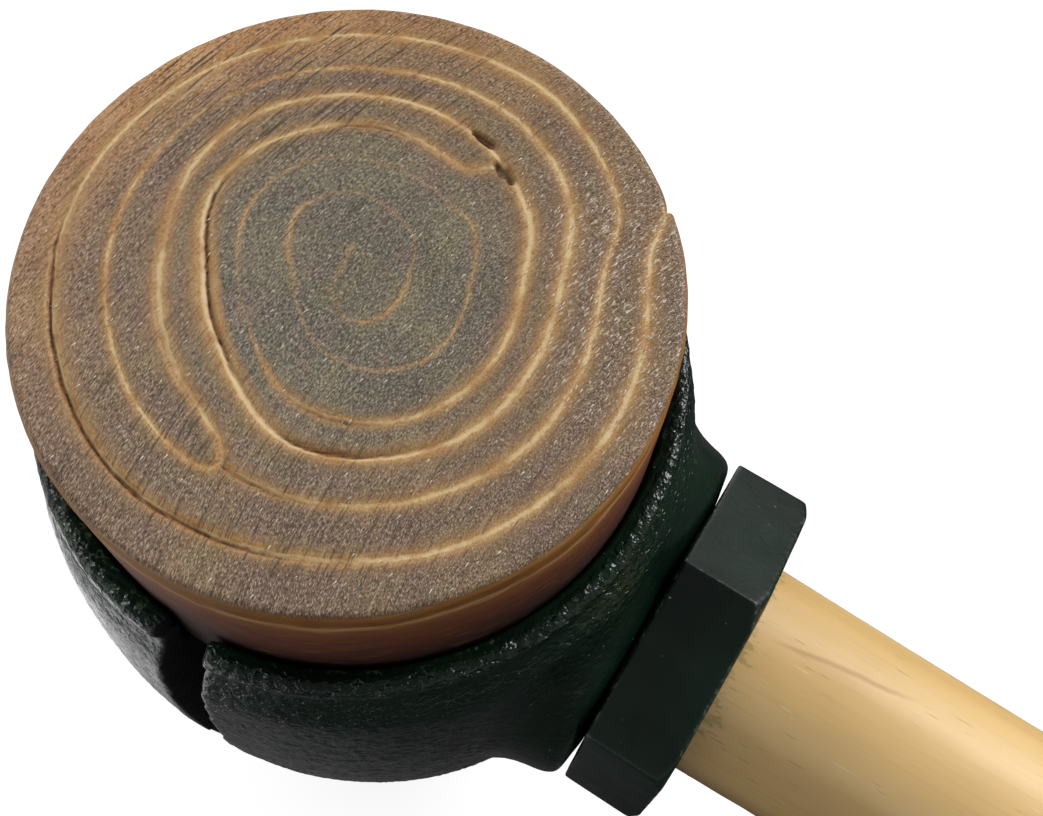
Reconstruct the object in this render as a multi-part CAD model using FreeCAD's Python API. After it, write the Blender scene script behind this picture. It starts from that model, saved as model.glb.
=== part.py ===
import FreeCAD
import Part
import math
import os

# Split-head rawhide mallet, in millimetres.
# The origin is the centre of the lower striking face, +Z runs up the head to the upper
# striking face, and +X runs from the head out along the handle.
# The iron head is cast in two jaws. The crown jaw carries a hollow threaded shank, the
# throat jaw slides on that shank, and a hexagon nut draws the two jaws together round a
# wound rawhide roll at each end. The handle sits in the bore of the shank and is wedged.

# Rawhide rolls: one strip of hide each, wound tight and turned to a cylinder
face_diameter = 50.8
face_exposure = 14.9
face_edge_round = 0.8
hide_pitch = 3.45
hide_gap = 0.45
core_radius = 2.3
outer_lap_least = 1.5
upper_winding_turn_deg = 200.0
lower_winding_turn_deg = 65.0

# Iron head
socket_depth = 8.8
socket_clearance = 0.15
socket_floor_wall = 4.85
rim_wall = 2.35
rim_round = 1.2
mouth_round = 0.7
belly_swell = 2.55
split_gap = 3.55
split_offset = 1.35

# Hollow threaded shank of the crown jaw
shank_radius = 11.5
shank_clearance = 0.2
shank_chamfer = 0.8
shank_end_step = 0.6
eye_radius = 9.2
eye_mouth_radius = 10.4
eye_flare_length = 20.0

# Boss of the throat jaw, which the nut bears on
boss_stand = 0.3
boss_end_radius = 17.2
boss_root_radius = 20.5
boss_round = 1.2
washer_face_height = 0.4
washer_face_radius = 13.6

# Hexagon nut
nut_across_flats = 30.0
nut_height = 8.0
nut_turn_deg = 25.0
nut_chamfer = 1.3
nut_chamfer_deg = 30.0
nut_clearance = 0.1
nut_countersink = 0.8

# Hickory handle
handle_length = 330.0
handle_proud = 0.4
shoulder_width = 21.4
shoulder_thickness = 21.0
neck_distance = 62.0
neck_width = 20.4
neck_thickness = 19.4
grip_distance = 190.0
grip_width = 27.2
grip_thickness = 22.4
butt_width = 28.6
butt_thickness = 23.6
butt_round = 4.0

# Wedges in the eye end of the handle
wooden_wedge_thickness = 2.8
wooden_wedge_tip = 0.8
wooden_wedge_depth = 24.0
steel_wedge_thickness = 2.2
steel_wedge_tip = 0.6
steel_wedge_width = 11.0
steel_wedge_depth = 14.0

# One overrun that carries every cut past the faces it opens, and one length that two
# measures may differ by and still be called the same
overrun = 5.0
same_size = 0.01

origin = FreeCAD.Vector(0, 0, 0)
along_x = FreeCAD.Vector(1, 0, 0)
along_z = FreeCAD.Vector(0, 0, 1)

# Places worked out from the sizes above
face_radius = face_diameter / 2
lap_pairs = math.floor((face_radius - core_radius - outer_lap_least) / hide_pitch)
winding_half_turns = 2 * lap_pairs + 1
socket_radius = face_radius + socket_clearance
rim_radius = socket_radius + rim_wall
belly_radius = rim_radius + belly_swell
shank_bore_radius = shank_radius + shank_clearance
iron_low_z = face_exposure
seat_low_z = iron_low_z + socket_depth
axis_z = seat_low_z + socket_floor_wall + shank_bore_radius
seat_high_z = axis_z + shank_bore_radius + socket_floor_wall
iron_high_z = seat_high_z + socket_depth
head_length = iron_high_z + face_exposure
boss_face_x = belly_radius + boss_stand
crown_split_x = split_offset - split_gap / 2
throat_split_x = split_offset + split_gap / 2
crown_x = -belly_radius
nut_inner_x = boss_face_x + washer_face_height
nut_outer_x = nut_inner_x + nut_height
nut_bore_radius = shank_radius + nut_clearance
shank_end_x = nut_outer_x - shank_end_step
eye_end_x = crown_x - handle_proud
butt_x = eye_end_x + handle_length


def vec(x, y, z):
    return FreeCAD.Vector(x, y, z)


def cylinder_x(radius, x_from, x_to):
    """A cylinder on the handle's axis."""
    return Part.makeCylinder(radius, x_to - x_from, vec(x_from, 0, axis_z), along_x)


def cone_x(radius_from, radius_to, x_from, x_to):
    """A cone on the handle's axis."""
    return Part.makeCone(radius_from, radius_to, x_to - x_from, vec(x_from, 0, axis_z), along_x)


def cylinder_z(radius, z_from, z_to):
    """A cylinder on the head's axis."""
    return Part.makeCylinder(radius, z_to - z_from, vec(0, 0, z_from), along_z)


def round_edges(shape, radius, wanted):
    """Round the edges that the test picks out."""
    edges = [edge for edge in shape.Edges if wanted(edge)]
    if not edges:
        raise ValueError("no edge to round")
    return shape.makeFillet(radius, edges)


def is_ring(edge, radius, z):
    """True for a circular edge of this radius about the head's axis at this height."""
    curve = edge.Curve
    if not isinstance(curve, Part.Circle):
        return False
    return abs(curve.Radius - radius) < same_size and abs(curve.Center.z - z) < same_size


def casting():
    """The whole iron head before it is split: a barrel-shaped skin, socketed at each end."""
    low_rim = vec(rim_radius, 0, iron_low_z)
    high_rim = vec(rim_radius, 0, iron_high_z)
    low_middle = vec(0, 0, iron_low_z)
    high_middle = vec(0, 0, iron_high_z)
    outline = Part.Wire([
        Part.makeLine(low_middle, low_rim),
        Part.Arc(low_rim, vec(belly_radius, 0, axis_z), high_rim).toShape(),
        Part.makeLine(high_rim, high_middle),
        Part.makeLine(high_middle, low_middle),
    ])
    head = Part.Face(outline).revolve(origin, along_z, 360)
    head = head.cut(sockets())
    for z in (iron_low_z, iron_high_z):
        head = round_edges(head, rim_round, lambda edge: is_ring(edge, rim_radius, z))
        head = round_edges(head, mouth_round, lambda edge: is_ring(edge, socket_radius, z))
    return head


def sockets():
    """The two round pockets that hold the rawhide rolls."""
    low = cylinder_z(socket_radius, iron_low_z - overrun, seat_low_z)
    high = cylinder_z(socket_radius, seat_high_z, iron_high_z + overrun)
    return low.fuse(high)


def side_of_split(x_from, x_to):
    """A block as wide as the head that keeps one side of the split."""
    corner = vec(x_from, -2 * belly_radius, iron_low_z - overrun)
    return Part.makeBox(x_to - x_from, 4 * belly_radius, head_length, corner)


def eye():
    """The bore that the handle fills, flared at the crown for the wedges."""
    bore = cylinder_x(eye_radius, crown_x - overrun, shank_end_x + overrun)
    flare = cone_x(eye_mouth_radius, eye_radius, crown_x, crown_x + eye_flare_length)
    mouth = cylinder_x(eye_mouth_radius, crown_x - overrun, crown_x)
    return bore.fuse([flare, mouth])


def crown_jaw():
    """The jaw away from the handle, in one casting with the hollow shank."""
    jaw = casting().common(side_of_split(-2 * belly_radius, crown_split_x))
    shank = cylinder_x(shank_radius, crown_split_x - overrun, shank_end_x)
    end_edges = [edge for edge in shank.Edges if edge.BoundBox.XMin > shank_end_x - same_size]
    shank = shank.makeChamfer(shank_chamfer, end_edges)
    return jaw.fuse(shank).cut(eye())


def throat_jaw():
    """The jaw on the handle's side, with the boss that the nut bears on."""
    jaw = casting().common(side_of_split(throat_split_x, 2 * belly_radius))
    boss = cone_x(boss_root_radius, boss_end_radius, throat_split_x, boss_face_x)
    boss = round_edges(
        boss, boss_round, lambda edge: edge.BoundBox.XMin > boss_face_x - same_size)
    washer_face = cylinder_x(washer_face_radius, boss_face_x - boss_round, nut_inner_x)
    bore = cylinder_x(shank_bore_radius, 0, nut_inner_x + overrun)
    return jaw.fuse([boss, washer_face]).cut(bore).cut(sockets())


def clamp_nut():
    """The hexagon nut, chamfered round its outer corners."""
    corner_radius = nut_across_flats / math.sqrt(3)
    corners = []
    for number in range(7):
        angle = math.radians(60 * number + nut_turn_deg)
        y = corner_radius * math.cos(angle)
        z = axis_z + corner_radius * math.sin(angle)
        corners.append(vec(nut_inner_x, y, z))
    nut = Part.Face(Part.makePolygon(corners)).extrude(vec(nut_height, 0, 0))
    slope = 1 / math.tan(math.radians(nut_chamfer_deg))
    end_radius = corner_radius - nut_chamfer
    chamfer = cone_x(end_radius + nut_height * slope, end_radius, nut_inner_x, nut_outer_x)
    bore = cylinder_x(nut_bore_radius, nut_inner_x - overrun, nut_outer_x + overrun)
    countersink = cone_x(
        nut_bore_radius + nut_countersink, nut_bore_radius,
        nut_inner_x, nut_inner_x + nut_countersink)
    return nut.common(chamfer).cut(bore.fuse(countersink))


def oval(x, width, thickness):
    """An oval wire across the handle, wide along the head and thin across it."""
    centre = vec(x, 0, axis_z)
    curve = Part.Ellipse(centre + vec(0, 0, width / 2), centre + vec(0, thickness / 2, 0), centre)
    return Part.Wire(curve.toShape())


def wedge(tip_thickness, thickness, width, depth, upright):
    """A driven wedge on the handle's axis, its head flush with the end of the handle."""
    half_head = thickness / 2
    half_tip = tip_thickness / 2
    outline = [(0, -half_head), (0, half_head), (depth, half_tip), (depth, -half_tip)]
    points = []
    for x, across in outline + outline[:1]:
        if upright:
            points.append(vec(eye_end_x + x, across, axis_z - width / 2))
        else:
            points.append(vec(eye_end_x + x, -width / 2, axis_z + across))
    run = vec(0, 0, width) if upright else vec(0, width, 0)
    return Part.Face(Part.makePolygon(points)).extrude(run)


def eye_filling():
    """All the wood in the eye, before the kerf is opened for the wedges."""
    return eye().common(cylinder_x(belly_radius, eye_end_x, shank_end_x))


def steel_wedge():
    """The steel wedge, driven across the wooden one."""
    return wedge(
        steel_wedge_tip, steel_wedge_thickness, steel_wedge_width, steel_wedge_depth, False)


def wooden_wedge():
    """The wooden wedge, which fills the kerf along the head."""
    blank = wedge(
        wooden_wedge_tip, wooden_wedge_thickness, 2 * belly_radius, wooden_wedge_depth, True)
    return blank.common(eye_filling()).cut(steel_wedge())


def handle():
    """The handle: a tenon through the eye, a shoulder on the shank, and an oval grip."""
    sections = [
        oval(shank_end_x, shoulder_width, shoulder_thickness),
        oval(shank_end_x + neck_distance, neck_width, neck_thickness),
        oval(shank_end_x + grip_distance, grip_width, grip_thickness),
        oval(butt_x, butt_width, butt_thickness),
    ]
    grip = Part.makeLoft(sections, True, False)
    grip = round_edges(grip, butt_round, lambda edge: edge.BoundBox.XMin > butt_x - same_size)
    kerf = wedge(
        wooden_wedge_tip, wooden_wedge_thickness, 4 * belly_radius, wooden_wedge_depth, True)
    return grip.fuse(eye_filling()).cut(kerf).cut(steel_wedge())


def winding_gap(turn_deg, z_from, z_to):
    """The seam between the laps: a spiral of half-turn arcs, run through the roll."""
    outer = []
    inner = []
    step = hide_pitch / 2
    for number in range(winding_half_turns):
        middle = core_radius + number * step
        centre_x = 0 if number % 2 == 0 else step
        side = 1 if number % 2 == 0 else -1
        for arcs, radius in ((outer, middle + hide_gap / 2), (inner, middle - hide_gap / 2)):
            start = vec(centre_x + side * radius, 0, z_from)
            peak = vec(centre_x, side * radius, z_from)
            end = vec(centre_x - side * radius, 0, z_from)
            arcs.append(Part.Arc(start, peak, end).toShape())
    caps = [
        Part.makeLine(outer[0].valueAt(outer[0].FirstParameter),
                      inner[0].valueAt(inner[0].FirstParameter)),
        Part.makeLine(outer[-1].valueAt(outer[-1].LastParameter),
                      inner[-1].valueAt(inner[-1].LastParameter)),
    ]
    edges = Part.__sortEdges__(outer + inner + caps)
    gap = Part.Face(Part.Wire(edges)).extrude(vec(0, 0, z_to - z_from))
    gap.rotate(origin, along_z, turn_deg)
    return gap


def rawhide_face(z_from, z_to, z_face, turn_deg):
    """One wound roll, with the edge of its striking face rounded."""
    roll = cylinder_z(face_radius, z_from, z_to)
    roll = round_edges(roll, face_edge_round, lambda edge: is_ring(edge, face_radius, z_face))
    return roll.cut(winding_gap(turn_deg, z_from - overrun, z_to + overrun))


def report_winding():
    """Print the least gap between the laps, measured on points of the two sides."""
    gap = winding_gap(0, 0, overrun)
    walls = [face for face in gap.Faces if isinstance(face.Surface, Part.Cylinder)]
    radii = sorted(set(round(face.Surface.Radius, 3) for face in walls))
    least = min(high - low for low, high in zip(radii[0::2], radii[1::2]))
    print("least gap between laps", round(least, 3), "laps", winding_half_turns / 2)


def export(shape, node):
    solids = shape.Solids
    if len(solids) != 1 or not solids[0].isValid():
        raise ValueError(node + " is not one valid solid")
    solids[0].exportStep("parts/" + node + ".step")
    box = solids[0].optimalBoundingBox()
    print(node, "volume", round(solids[0].Volume), "x", round(box.XMin, 2), round(box.XMax, 2),
          "z", round(box.ZMin, 2), round(box.ZMax, 2))


os.makedirs("parts", exist_ok=True)
report_winding()
export(crown_jaw(), "crown_jaw")
export(throat_jaw(), "throat_jaw")
export(clamp_nut(), "clamp_nut")
export(handle(), "handle")
export(wooden_wedge(), "wooden_wedge")
export(steel_wedge(), "steel_wedge")
export(rawhide_face(0, seat_low_z, 0, lower_winding_turn_deg), "lower_rawhide_face")
export(rawhide_face(seat_high_z, head_length, head_length, upper_winding_turn_deg),
       "upper_rawhide_face")
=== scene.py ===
import math

import bmesh
import bpy
import numpy as np
from mathutils import Euler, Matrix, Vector, noise
from mathutils.kdtree import KDTree


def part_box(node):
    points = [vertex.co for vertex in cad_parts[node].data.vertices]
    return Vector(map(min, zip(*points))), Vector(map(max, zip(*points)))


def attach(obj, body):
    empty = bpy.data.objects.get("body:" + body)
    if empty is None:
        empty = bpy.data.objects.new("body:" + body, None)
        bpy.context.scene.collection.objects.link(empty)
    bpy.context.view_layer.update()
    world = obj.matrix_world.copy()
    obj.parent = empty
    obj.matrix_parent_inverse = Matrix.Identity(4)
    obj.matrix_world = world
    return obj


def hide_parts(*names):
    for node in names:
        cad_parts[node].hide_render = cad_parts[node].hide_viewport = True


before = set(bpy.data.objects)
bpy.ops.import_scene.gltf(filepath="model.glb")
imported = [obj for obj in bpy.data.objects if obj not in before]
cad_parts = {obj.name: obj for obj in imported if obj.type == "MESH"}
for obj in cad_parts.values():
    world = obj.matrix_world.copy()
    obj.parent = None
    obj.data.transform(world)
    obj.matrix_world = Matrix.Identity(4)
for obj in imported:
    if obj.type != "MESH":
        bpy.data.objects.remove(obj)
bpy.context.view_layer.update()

bl_info = {
    "name": "Rawhide mallet",
    "version": (1, 0, 0),
    "blender": (4, 5, 0),
    "location": "3D View > Sidebar > Mallet",
    "description": "Dresses a split-head rawhide mallet: painted iron, wound hide and hickory",
    "category": "Object",
}

# All the sizes here are in millimetres unless a name says otherwise, and the meshes in metres
MM = 0.001


def corner(node, end):
    """The lowest (0) or highest (1) corner of a construction piece, in millimetres."""
    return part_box(node)[end] / MM


# Places read from the frame
face_high_z = corner("upper_rawhide_face", 1).z
seat_high_z = corner("upper_rawhide_face", 0).z
face_low_z = corner("lower_rawhide_face", 0).z
seat_low_z = corner("lower_rawhide_face", 1).z
face_radius = corner("upper_rawhide_face", 1).y
belly_radius = corner("crown_jaw", 1).y
iron_high_z = corner("crown_jaw", 1).z
iron_low_z = corner("crown_jaw", 0).z
axis_z = (face_high_z + face_low_z) / 2
nut_inner_x = corner("clamp_nut", 0).x
nut_outer_x = corner("clamp_nut", 1).x
throat_split_x = corner("throat_jaw", 0).x
crown_split_x = throat_split_x - 3.55
boss_end_x = corner("throat_jaw", 1).x
shank_end_x = corner("crown_jaw", 1).x
handle_end_x = corner("handle", 0).x
butt_x = corner("handle", 1).x

# Sizes of the iron that a box doesn't tell: how far its rim stands outside the rawhide, and
# the cone that the boss narrows along towards the nut
rim_stand = 2.5
rim_radius = face_radius + rim_stand
boss_root_radius = 20.5
boss_end_radius = 17.2

# The neck under the lip of the casting
neck_depth = 1.2
neck_below_rim = 4.2
neck_half_height = 2.3

side_length = face_high_z - iron_high_z

# The rusty streak in the handle, by its middle, its lean across the grain and half its length
streak_x = 48.0
streak_y = 2.6
streak_slope = -0.17
streak_half_length = 7.5

# The saw was a disc: its scores are arcs about this point beside the head
saw_x = 75.0
saw_y = -8.0
saw_radius = math.hypot(saw_x, saw_y)

# The seams of the upper roll, looked at from above: the angle round the head in degrees,
# counted up through the turns, the distance from its axis, the width of the pale line of
# glue and fibre, and how far the seam has opened beside it: 1 is open on the outer side,
# -1 on the inner side
core_seam = [
    (123, 2.7, 0.19, 0.0), (164, 1.1, 0.14, 0.0), (261, 1.95, 0.14, 0.0), (291, 3.1, 0.16, 0.0),
    (320, 3.7, 0.21, 0.0), (350, 3.85, 0.26, 0.0), (375, 4.05, 0.26, 0.0), (398, 4.3, 0.19, 0.0),
    (412, 4.85, 0.15, 0.0), (430, 5.75, 0.14, 0.0), (450, 6.25, 0.14, 0.0), (465, 6.7, 0.14, 0.0),
    (480, 7.4, 0.14, 0.0), (500, 7.55, 0.16, 0.0), (518, 7.25, 0.24, 0.0), (532, 6.35, 0.26, 0.1),
    (548, 5.35, 0.25, 0.1), (563, 4.55, 0.21, 0.0), (580, 4.3, 0.15, 0.0), (600, 4.45, 0.14, 0.0),
    (615, 4.75, 0.14, 0.0), (645, 6.0, 0.14, 0.0), (675, 7.55, 0.17, 0.0), (690, 8.2, 0.20, 0.0),
    (705, 8.7, 0.22, 0.0), (735, 8.8, 0.21, 0.0), (750, 8.85, 0.21, 0.0), (765, 9.55, 0.21, 0.0),
    (780, 10.05, 0.22, 0.0), (795, 9.8, 0.16, 0.0), (822, 10.0, 0.14, 0.0), (850, 10.65, 0.14, 0.0),
    (870, 10.8, 0.17, 0.0), (887, 10.4, 0.21, 0.0), (900, 9.9, 0.24, 0.1), (915, 9.05, 0.21, 0.1),
    (932, 8.4, 0.15, 0.0), (955, 8.3, 0.14, 0.0), (975, 8.75, 0.22, 0.0), (990, 9.7, 0.34, 0.1),
    (1005, 10.45, 0.37, 0.5), (1020, 11.05, 0.39, 0.6), (1040, 11.8, 0.39, 0.3),
    (1065, 12.3, 0.46, 0.1), (1090, 12.55, 0.48, 0.0), (1110, 12.8, 0.54, 0.0),
    (1120, 13.3, 0.58, 0.0), (1132, 14.3, 0.60, 0.0), (1145, 14.8, 0.56, 0.2),
    (1157, 15.35, 0.50, 0.3), (1170, 15.8, 0.52, 0.2), (1187, 16.25, 0.48, 0.1),
    (1208, 16.55, 0.46, 0.1), (1230, 16.7, 0.46, 0.0), (1243, 16.5, 0.46, 0.0),
    (1255, 15.95, 0.50, 0.2), (1268, 15.15, 0.52, 0.3), (1282, 14.4, 0.54, 0.2),
    (1300, 14.15, 0.56, 0.3), (1318, 14.2, 0.54, 0.4), (1332, 14.35, 0.48, 0.2),
    (1342, 14.8, 0.46, 0.1), (1349, 15.6, 0.46, 0.1), (1352, 16.6, 0.44, 0.3),
]
middle_seam = [
    (75, 14.6, 0.50, -0.5), (78, 13.6, 0.46, -0.4), (82, 12.85, 0.44, -0.2), (90, 12.8, 0.44, -0.1),
    (105, 13.3, 0.42, -0.4), (117, 13.7, 0.42, -0.6), (137, 13.8, 0.44, -0.3), (155, 13.85, 0.46, -0.1),
    (168, 13.6, 0.52, -0.5), (180, 13.05, 0.58, -0.7), (191, 12.15, 0.64, -0.9), (202, 11.3, 0.70, -1.0),
    (215, 10.8, 0.76, -1.0), (235, 10.7, 0.74, -0.9), (248, 10.95, 0.66, -0.6), (262, 11.65, 0.60, -0.3),
    (275, 12.7, 0.56, -0.2), (287, 13.5, 0.50, -0.6), (302, 14.0, 0.48, -0.7), (318, 14.4, 0.50, -0.4),
    (335, 14.95, 0.54, -0.1), (360, 15.2, 0.56, 0.0), (378, 15.35, 0.58, 0.0), (392, 15.8, 0.58, 0.0),
    (402, 16.6, 0.58, 0.0), (412, 17.65, 0.56, 0.0), (422, 18.35, 0.50, -0.1), (437, 18.85, 0.48, 0.0),
    (452, 19.05, 0.44, 0.0), (480, 19.05, 0.34, 0.0), (510, 19.3, 0.26, 0.0), (528, 19.1, 0.26, 0.0),
    (545, 18.8, 0.34, 0.0), (565, 18.35, 0.36, 0.0), (587, 17.9, 0.36, 0.0), (612, 17.8, 0.38, 0.0),
    (625, 17.7, 0.40, 0.0), (630, 17.4, 0.44, -0.1), (632, 16.6, 0.44, -0.3),
]
outer_seam = [
    (272, 16.6, 0.44, 0.5), (283, 16.95, 0.40, 0.6), (302, 17.4, 0.40, 0.3), (322, 17.85, 0.46, 0.1),
    (345, 18.4, 0.50, 0.2), (362, 18.5, 0.50, 0.2), (380, 18.55, 0.46, 0.1), (392, 18.85, 0.42, 0.0),
    (399, 19.6, 0.36, 0.0), (407, 21.0, 0.36, 0.0), (415, 21.6, 0.40, 0.0), (430, 22.25, 0.48, 0.0),
    (443, 22.6, 0.52, 0.0), (460, 22.45, 0.50, 0.0), (485, 22.35, 0.42, 0.0), (510, 22.4, 0.40, 0.0),
    (540, 22.45, 0.44, 0.1), (562, 22.25, 0.48, 0.5), (577, 21.85, 0.50, 0.9), (600, 21.65, 0.48, 1.0),
    (620, 21.6, 0.46, 1.0), (634, 21.3, 0.46, 0.9), (652, 21.2, 0.46, 0.5), (668, 21.35, 0.46, 0.2),
    (682, 21.8, 0.48, 0.0), (705, 22.2, 0.52, 0.1), (722, 22.4, 0.54, 0.1), (740, 22.35, 0.52, 0.0),
    (751, 22.3, 0.50, 0.0), (758, 22.75, 0.46, 0.1), (762, 23.6, 0.40, 0.2), (765, 24.6, 0.40, 0.4),
    (767, 25.5, 0.40, 0.5),
]
upper_lap_end_deg = 46.0
lower_lap_end_deg = 250.0

# Small torn pockets beside the seams of the upper roll: angle, distance from the axis,
# half length round the head, half width across it and depth
upper_pockets = [(71.5, 14.75, 1.30, 0.46, 0.45), (83.5, 15.80, 1.40, 0.36, 0.40)]


def linear(hex_code):
    """A linear colour from an sRGB hex code."""
    channels = []
    for place in (1, 3, 5):
        value = int(hex_code[place:place + 2], 16) / 255
        channels.append(value / 12.92 if value <= 0.04045 else ((value + 0.055) / 1.055) ** 2.4)
    return (*channels, 1.0)


def smoothstep(low, high, value):
    share = np.clip((value - low) / (high - low), 0.0, 1.0)
    return share * share * (3 - 2 * share)


class HideSettings(bpy.types.PropertyGroup):
    """The two wound rolls of rawhide."""
    cell: bpy.props.FloatProperty(
        name="Cell", description="Spacing of the points on the striking face, in millimetres",
        default=0.2, min=0.1, max=1.0)
    seam_depth: bpy.props.FloatProperty(
        name="Seam depth", description="Depth of an open seam, in millimetres",
        default=0.45, min=0.0, max=2.0)
    nap_count: bpy.props.IntProperty(
        name="Nap", description="Raised fibres on each striking face", default=300, min=0)
    nap_length: bpy.props.FloatProperty(
        name="Nap length", description="Length of a raised fibre", default=0.8 * MM,
        subtype="DISTANCE", unit="LENGTH")


class IronSettings(bpy.types.PropertyGroup):
    """The painted castings and the nut."""
    throat_cell: bpy.props.FloatProperty(
        name="Throat cell", description="Spacing of the points on the jaw by the handle",
        default=0.42 * MM, subtype="DISTANCE", unit="LENGTH")
    crown_cell: bpy.props.FloatProperty(
        name="Crown cell", description="Spacing of the points on the jaw with the shank",
        default=0.47 * MM, subtype="DISTANCE", unit="LENGTH")
    nut_cell: bpy.props.FloatProperty(
        name="Nut cell", description="Spacing of the points on the nut",
        default=0.26 * MM, subtype="DISTANCE", unit="LENGTH")
    grain_size: bpy.props.FloatProperty(
        name="Sand grain", description="Size of the grains that the mould left, in millimetres",
        default=0.75, min=0.1, max=5.0)
    grain_depth: bpy.props.FloatProperty(
        name="Grain depth", description="Depth between the grains, in millimetres",
        default=0.16, min=0.0, max=1.0)


class StageSettings(bpy.types.PropertyGroup):
    """The floor, the lights and the camera."""
    floor_size: bpy.props.FloatProperty(
        name="Floor", description="Side of the floor", default=6.0,
        subtype="DISTANCE", unit="LENGTH")
    lens: bpy.props.FloatProperty(
        name="Lens", description="Focal length of the camera", default=47.197,
        unit="CAMERA")


def node(tree, kind, inputs=None, **settings):
    """Add a shader or geometry node with its settings, and fill or link its inputs."""
    made = tree.nodes.new(kind)
    for name, value in settings.items():
        setattr(made, name, value)
    for name, value in (inputs or {}).items():
        socket = made.inputs[name]
        if isinstance(value, bpy.types.NodeSocket):
            tree.links.new(value, socket)
        else:
            socket.default_value = value
    return made


def new_material(name):
    """An empty node material with its principled shader, and the object coordinates."""
    material = bpy.data.materials.new(name)
    material.use_nodes = True
    tree = material.node_tree
    tree.nodes.clear()
    shader = node(tree, "ShaderNodeBsdfPrincipled")
    node(tree, "ShaderNodeOutputMaterial", {"Surface": shader.outputs["BSDF"]})
    place = node(tree, "ShaderNodeTexCoord").outputs["Object"]
    return material, tree, shader, place


def stretched(tree, place, size_mm, turn_deg=0.0):
    """Object coordinates divided by a cell's size along each axis, after a turn about Z."""
    turned = node(tree, "ShaderNodeVectorRotate", {
        "Vector": place, "Angle": math.radians(-turn_deg)}, rotation_type="Z_AXIS")
    return node(tree, "ShaderNodeVectorMath", {
        0: turned.outputs[0], 1: [1 / (length * MM) for length in size_mm]},
        operation="MULTIPLY").outputs[0]


def field(tree, place, size_mm, detail=2.0, turn_deg=0.0, roughness=0.5):
    """A noise from 0 to 1 with cells of this size along each axis."""
    return node(tree, "ShaderNodeTexNoise", {
        "Vector": stretched(tree, place, size_mm, turn_deg), "Scale": 1.0, "Detail": detail,
        "Roughness": roughness}).outputs["Fac"]


def along_saw(tree, place):
    """Object coordinates bent so that X runs across the saw's scores and Y along them."""
    spot = node(tree, "ShaderNodeSeparateXYZ", {0: place})
    off_x = maths(tree, "SUBTRACT", spot.outputs["X"], saw_x * MM)
    off_y = maths(tree, "SUBTRACT", spot.outputs["Y"], saw_y * MM)
    radius = maths(tree, "SQRT", maths(tree, "ADD", maths(tree, "MULTIPLY", off_x, off_x), maths(
        tree, "MULTIPLY", off_y, off_y)))
    # Seen from the disc's middle the head lies towards -X, away from the jump in the angle
    turn = maths(tree, "ARCTAN2", off_y, maths(tree, "MULTIPLY", off_x, -1.0))
    return node(tree, "ShaderNodeCombineXYZ", {
        "X": radius, "Y": maths(tree, "MULTIPLY", turn, saw_radius * MM),
        "Z": spot.outputs["Z"]}).outputs[0]


def ramp(tree, value, low, high, out_low=0.0, out_high=1.0):
    """A smooth step of a value from one range to another, which may run downwards."""
    if low > high:
        low, high, out_low, out_high = high, low, out_high, out_low
    return node(tree, "ShaderNodeMapRange", {
        "Value": value, "From Min": low, "From Max": high, "To Min": out_low, "To Max": out_high},
        interpolation_type="SMOOTHSTEP").outputs[0]


def maths(tree, operation, first, second=0.0):
    return node(tree, "ShaderNodeMath", {0: first, 1: second}, operation=operation).outputs[0]


def mixed(tree, share, first, second, blend="MIX"):
    """Two colours mixed by a share."""
    made = node(tree, "ShaderNodeMix", data_type="RGBA", blend_type=blend)
    for socket, value in zip([made.inputs[0], made.inputs[6], made.inputs[7]],
                             [share, first, second]):
        if isinstance(value, bpy.types.NodeSocket):
            tree.links.new(value, socket)
        else:
            socket.default_value = value
    return made.outputs[2]


def attribute(tree, name):
    return node(tree, "ShaderNodeAttribute", attribute_name=name).outputs["Fac"]


def bump(tree, height, depth_mm, strength=1.0, below=None):
    """A bump of a height from 0 to 1, as deep as given, over another one."""
    inputs = {"Height": height, "Distance": depth_mm * MM, "Strength": strength}
    if below is not None:
        inputs["Normal"] = below
    return node(tree, "ShaderNodeBump", inputs).outputs[0]


def colour_bands(tree, value, bands):
    """A colour that changes along a value from 0 to 1 at the given places."""
    made = node(tree, "ShaderNodeValToRGB", {"Fac": value})
    stops = made.color_ramp.elements
    while len(stops) < len(bands):
        stops.new(0.5)
    for stop, (position, hex_code) in zip(stops, bands):
        stop.position = position
        stop.color = linear(hex_code)
    return made.outputs["Color"]


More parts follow.
